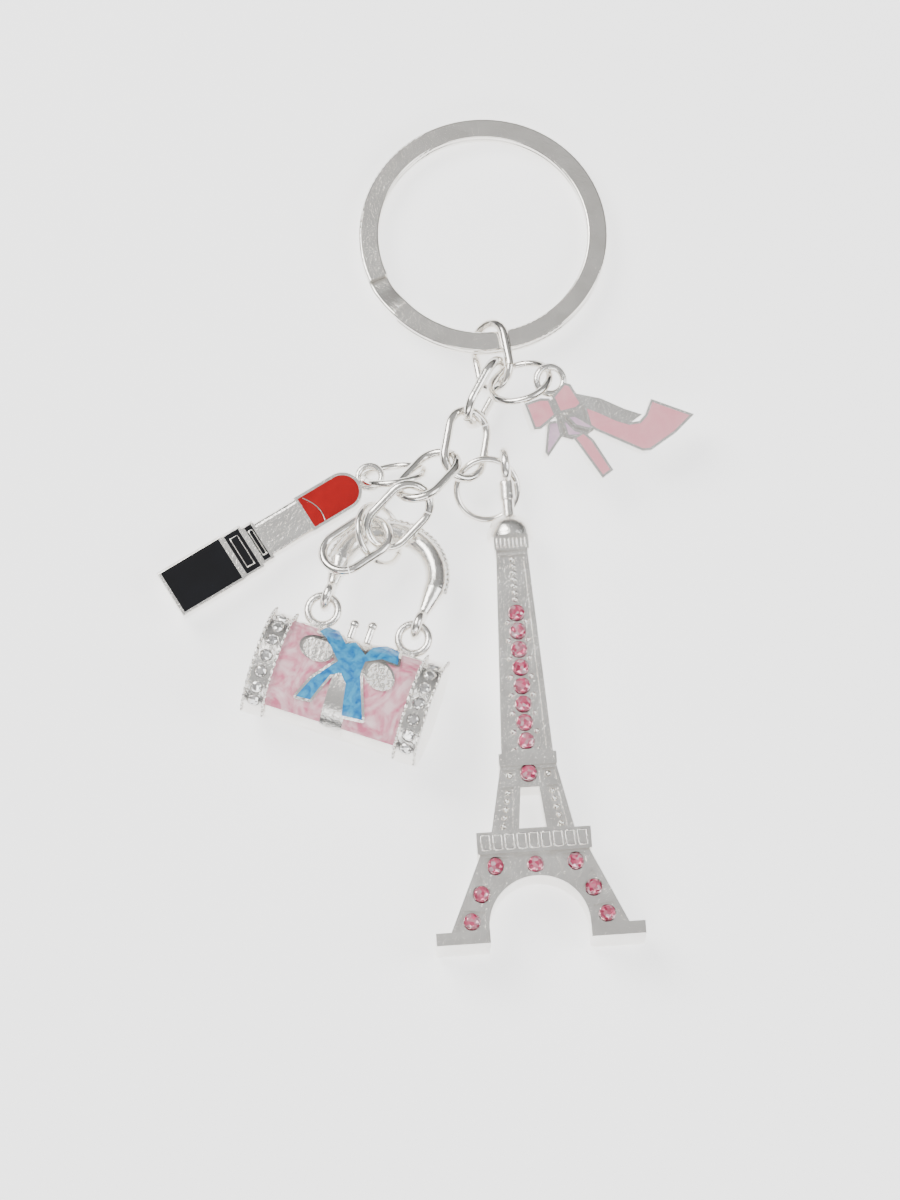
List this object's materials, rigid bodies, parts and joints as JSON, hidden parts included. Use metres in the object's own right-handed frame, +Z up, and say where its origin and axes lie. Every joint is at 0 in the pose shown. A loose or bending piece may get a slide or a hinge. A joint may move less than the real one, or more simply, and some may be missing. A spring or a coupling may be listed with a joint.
{
  "type": "keychain with hanging charms",
  "caption": "Keychain: a split ring and a short oval-link chain from which hang a lattice tower, a lipstick, a handbag and a court shoe, in nickel plate, enamel and stones.",
  "frame": {"origin": "centre of the split ring, midway through its thickness", "axes": "+Y from the charms towards the ring along the length, +Z up from the surface it lies on, +X to the right as seen from above"},
  "size_m": [0.0639, 0.1034, 0.011],
  "materials": {
    "chain_link_1": "nickel plated",
    "chain_link_2": "nickel plated",
    "chain_link_3": "nickel plated",
    "chain_link_4": "nickel plated",
    "chain_link_5": "nickel plated",
    "chain_link_6": "nickel plated",
    "handbag_body": "nickel plated, worn bright",
    "handbag_bow_enamel": "glossy, streaked",
    "handbag_handle": "nickel plated, worn bright",
    "handbag_pink_enamel_left": "glossy, marbled",
    "handbag_pink_enamel_right": "glossy, marbled",
    "handbag_stone_01": "faceted",
    "handbag_stone_02": "faceted",
    "handbag_stone_03": "faceted",
    "handbag_stone_04": "faceted",
    "handbag_stone_05": "faceted",
    "handbag_stone_06": "faceted",
    "handbag_stone_07": "faceted",
    "handbag_stone_08": "faceted",
    "handbag_stone_09": "faceted",
    "handbag_stone_10": "faceted",
    "handbag_stone_11": "faceted",
    "handbag_stone_12": "faceted",
    "handbag_stone_13": "faceted",
    "handbag_stone_14": "faceted",
    "jump_ring_handbag": "nickel plated",
    "jump_ring_lipstick": "nickel plated",
    "jump_ring_shoe": "nickel plated",
    "jump_ring_tower": "nickel plated",
    "lipstick_body": "nickel plated, worn bright",
    "lipstick_bullet_enamel": "glossy",
    "lipstick_case_enamel": "glossy",
    "lipstick_narrow_collar_enamel": "glossy",
    "lipstick_wide_collar_enamel": "glossy",
    "shoe_body": "nickel plated, worn bright",
    "shoe_drape_enamel": "glossy, pearly",
    "shoe_heel_enamel": "glossy",
    "shoe_left_bow_enamel": "glossy",
    "shoe_left_tail_enamel": "glossy, pearly",
    "shoe_right_bow_enamel": "glossy",
    "shoe_right_tail_enamel": "glossy, pearly",
    "shoe_vamp_enamel": "glossy",
    "split_ring": "nickel plated",
    "tower_body": "nickel plated, worn bright",
    "tower_stone_01": "faceted",
    "tower_stone_02": "faceted",
    "tower_stone_03": "faceted",
    "tower_stone_04": "faceted",
    "tower_stone_05": "faceted",
    "tower_stone_06": "faceted",
    "tower_stone_07": "faceted",
    "tower_stone_08": "faceted",
    "tower_stone_09": "faceted",
    "tower_stone_10": "faceted",
    "tower_stone_11": "faceted",
    "tower_stone_12": "faceted",
    "tower_stone_13": "faceted",
    "tower_stone_14": "faceted",
    "tower_stone_15": "faceted",
    "tower_stone_16": "faceted"
  },
  "bodies": {
    "chain_link_1": {"chain_link_1": "chain_link_1"},
    "chain_link_2": {"chain_link_2": "chain_link_2"},
    "chain_link_3": {"chain_link_3": "chain_link_3"},
    "chain_link_4": {"chain_link_4": "chain_link_4"},
    "chain_link_5": {"chain_link_5": "chain_link_5"},
    "chain_link_6": {"chain_link_6": "chain_link_6"},
    "bag": {"handbag_body": "handbag_body", "handbag_bow_enamel": "handbag_bow_enamel", "handbag_pink_enamel_left": "handbag_pink_enamel_left", "handbag_pink_enamel_right": "handbag_pink_enamel_right", "handbag_stone_01": "handbag_stone_01", "handbag_stone_02": "handbag_stone_02", "handbag_stone_03": "handbag_stone_03", "handbag_stone_04": "handbag_stone_04", "handbag_stone_05": "handbag_stone_05", "handbag_stone_06": "handbag_stone_06", "handbag_stone_07": "handbag_stone_07", "handbag_stone_08": "handbag_stone_08", "handbag_stone_09": "handbag_stone_09", "handbag_stone_10": "handbag_stone_10", "handbag_stone_11": "handbag_stone_11", "handbag_stone_12": "handbag_stone_12", "handbag_stone_13": "handbag_stone_13", "handbag_stone_14": "handbag_stone_14"},
    "bag_handle": {"handbag_handle": "handbag_handle"},
    "jump_ring_handbag": {"jump_ring_handbag": "jump_ring_handbag"},
    "jump_ring_lipstick": {"jump_ring_lipstick": "jump_ring_lipstick"},
    "jump_ring_shoe": {"jump_ring_shoe": "jump_ring_shoe"},
    "jump_ring_tower": {"jump_ring_tower": "jump_ring_tower"},
    "lipstick": {"lipstick_body": "lipstick_body", "lipstick_bullet_enamel": "lipstick_bullet_enamel", "lipstick_case_enamel": "lipstick_case_enamel", "lipstick_narrow_collar_enamel": "lipstick_narrow_collar_enamel", "lipstick_wide_collar_enamel": "lipstick_wide_collar_enamel"},
    "shoe": {"shoe_body": "shoe_body", "shoe_drape_enamel": "shoe_drape_enamel", "shoe_heel_enamel": "shoe_heel_enamel", "shoe_left_bow_enamel": "shoe_left_bow_enamel", "shoe_left_tail_enamel": "shoe_left_tail_enamel", "shoe_right_bow_enamel": "shoe_right_bow_enamel", "shoe_right_tail_enamel": "shoe_right_tail_enamel", "shoe_vamp_enamel": "shoe_vamp_enamel"},
    "split_ring": {"split_ring": "split_ring"},
    "tower": {"tower_body": "tower_body", "tower_stone_01": "tower_stone_01", "tower_stone_02": "tower_stone_02", "tower_stone_03": "tower_stone_03", "tower_stone_04": "tower_stone_04", "tower_stone_05": "tower_stone_05", "tower_stone_06": "tower_stone_06", "tower_stone_07": "tower_stone_07", "tower_stone_08": "tower_stone_08", "tower_stone_09": "tower_stone_09", "tower_stone_10": "tower_stone_10", "tower_stone_11": "tower_stone_11", "tower_stone_12": "tower_stone_12", "tower_stone_13": "tower_stone_13", "tower_stone_14": "tower_stone_14", "tower_stone_15": "tower_stone_15", "tower_stone_16": "tower_stone_16"}
  },
  "joints": [
    {"name": "chain_link_1_hang", "type": "hinge", "parent": "split_ring", "child": "chain_link_1", "pos_m": [0.00072, -0.01377, 0.00065], "axis": [0.8673, -0.025, -0.4972], "range_deg": [-12, 12]},
    {"name": "chain_link_2_hang", "type": "hinge", "parent": "chain_link_1", "child": "chain_link_2", "pos_m": [0.00306, -0.01627, 0.00289], "axis": [-0.9823, -0.1713, 0.0756], "range_deg": [-12, 0]},
    {"name": "chain_link_3_hang", "type": "hinge", "parent": "chain_link_2", "child": "chain_link_3", "pos_m": [-0.00113, -0.02389, 0.00065], "axis": [-0.0119, -0.2097, 0.9777], "range_deg": [-14, 12]},
    {"name": "chain_link_4_hang", "type": "hinge", "parent": "chain_link_3", "child": "chain_link_4", "pos_m": [-0.0046, -0.02802, 0.00369], "axis": [0.1089, -0.9244, -0.3657], "range_deg": [-14, 12]},
    {"name": "chain_link_5_hang", "type": "hinge", "parent": "chain_link_4", "child": "chain_link_5", "pos_m": [-0.00974, -0.03385, 0.00481], "axis": [0.261, -0.3052, 0.9158], "range_deg": [-8, 14]},
    {"name": "chain_link_6_hang", "type": "hinge", "parent": "chain_link_5", "child": "chain_link_6", "pos_m": [-0.01169, -0.03971, 0.00268], "axis": [0.9715, -0.0864, -0.2207], "range_deg": [-14, 0]},
    {"name": "jump_ring_shoe_hang", "type": "hinge", "parent": "chain_link_1", "child": "jump_ring_shoe", "pos_m": [0.00243, -0.01919, 0.00214], "axis": [0.6239, 0.7727, 0.1173], "range_deg": [-14, 4]},
    {"name": "jump_ring_tower_hang", "type": "hinge", "parent": "chain_link_3", "child": "jump_ring_tower", "pos_m": [-0.00013, -0.02889, 0.00122], "axis": [0.9273, 0.3602, 0.1017], "range_deg": [-14, 14]},
    {"name": "jump_ring_lipstick_hang", "type": "hinge", "parent": "chain_link_4", "child": "jump_ring_lipstick", "pos_m": [-0.01009, -0.0331, 0.00417], "axis": [0.1434, -0.7903, 0.5957], "range_deg": [-14, 0]},
    {"name": "jump_ring_handbag_hang", "type": "hinge", "parent": "chain_link_6", "child": "jump_ring_handbag", "pos_m": [-0.01322, -0.04136, 0.00421], "axis": [-0.1012, -0.008, -0.9948], "range_deg": [-14, 0]},
    {"name": "shoe_hang", "type": "hinge", "parent": "jump_ring_shoe", "child": "shoe", "pos_m": [0.00729, -0.0209, 0.00608], "axis": [0.1186, 0.9753, -0.1862], "range_deg": [-14, 4]},
    {"name": "tower_hang", "type": "hinge", "parent": "jump_ring_tower", "child": "tower", "pos_m": [0.0037, -0.0306, 0.00145], "axis": [-0.4377, 0.8205, 0.3676], "range_deg": [-2, 14]},
    {"name": "lipstick_hang", "type": "hinge", "parent": "jump_ring_lipstick", "child": "lipstick", "pos_m": [-0.01394, -0.03018, 0.00055], "axis": [-0.3811, -0.5351, 0.754], "range_deg": [-14, 14]},
    {"name": "bag_handle_hang", "type": "hinge", "parent": "jump_ring_handbag", "child": "bag_handle", "pos_m": [-0.01003, -0.03739, -0.00111], "axis": [-0.6439, -0.1445, 0.7513], "range_deg": [-14, 14]},
    {"name": "bag_swing", "type": "hinge", "parent": "bag_handle", "child": "bag", "pos_m": [-0.01307, -0.04764, 0.00305], "axis": [0.945, -0.3231, 0.0512], "range_deg": [-10, 18]}
  ]
}
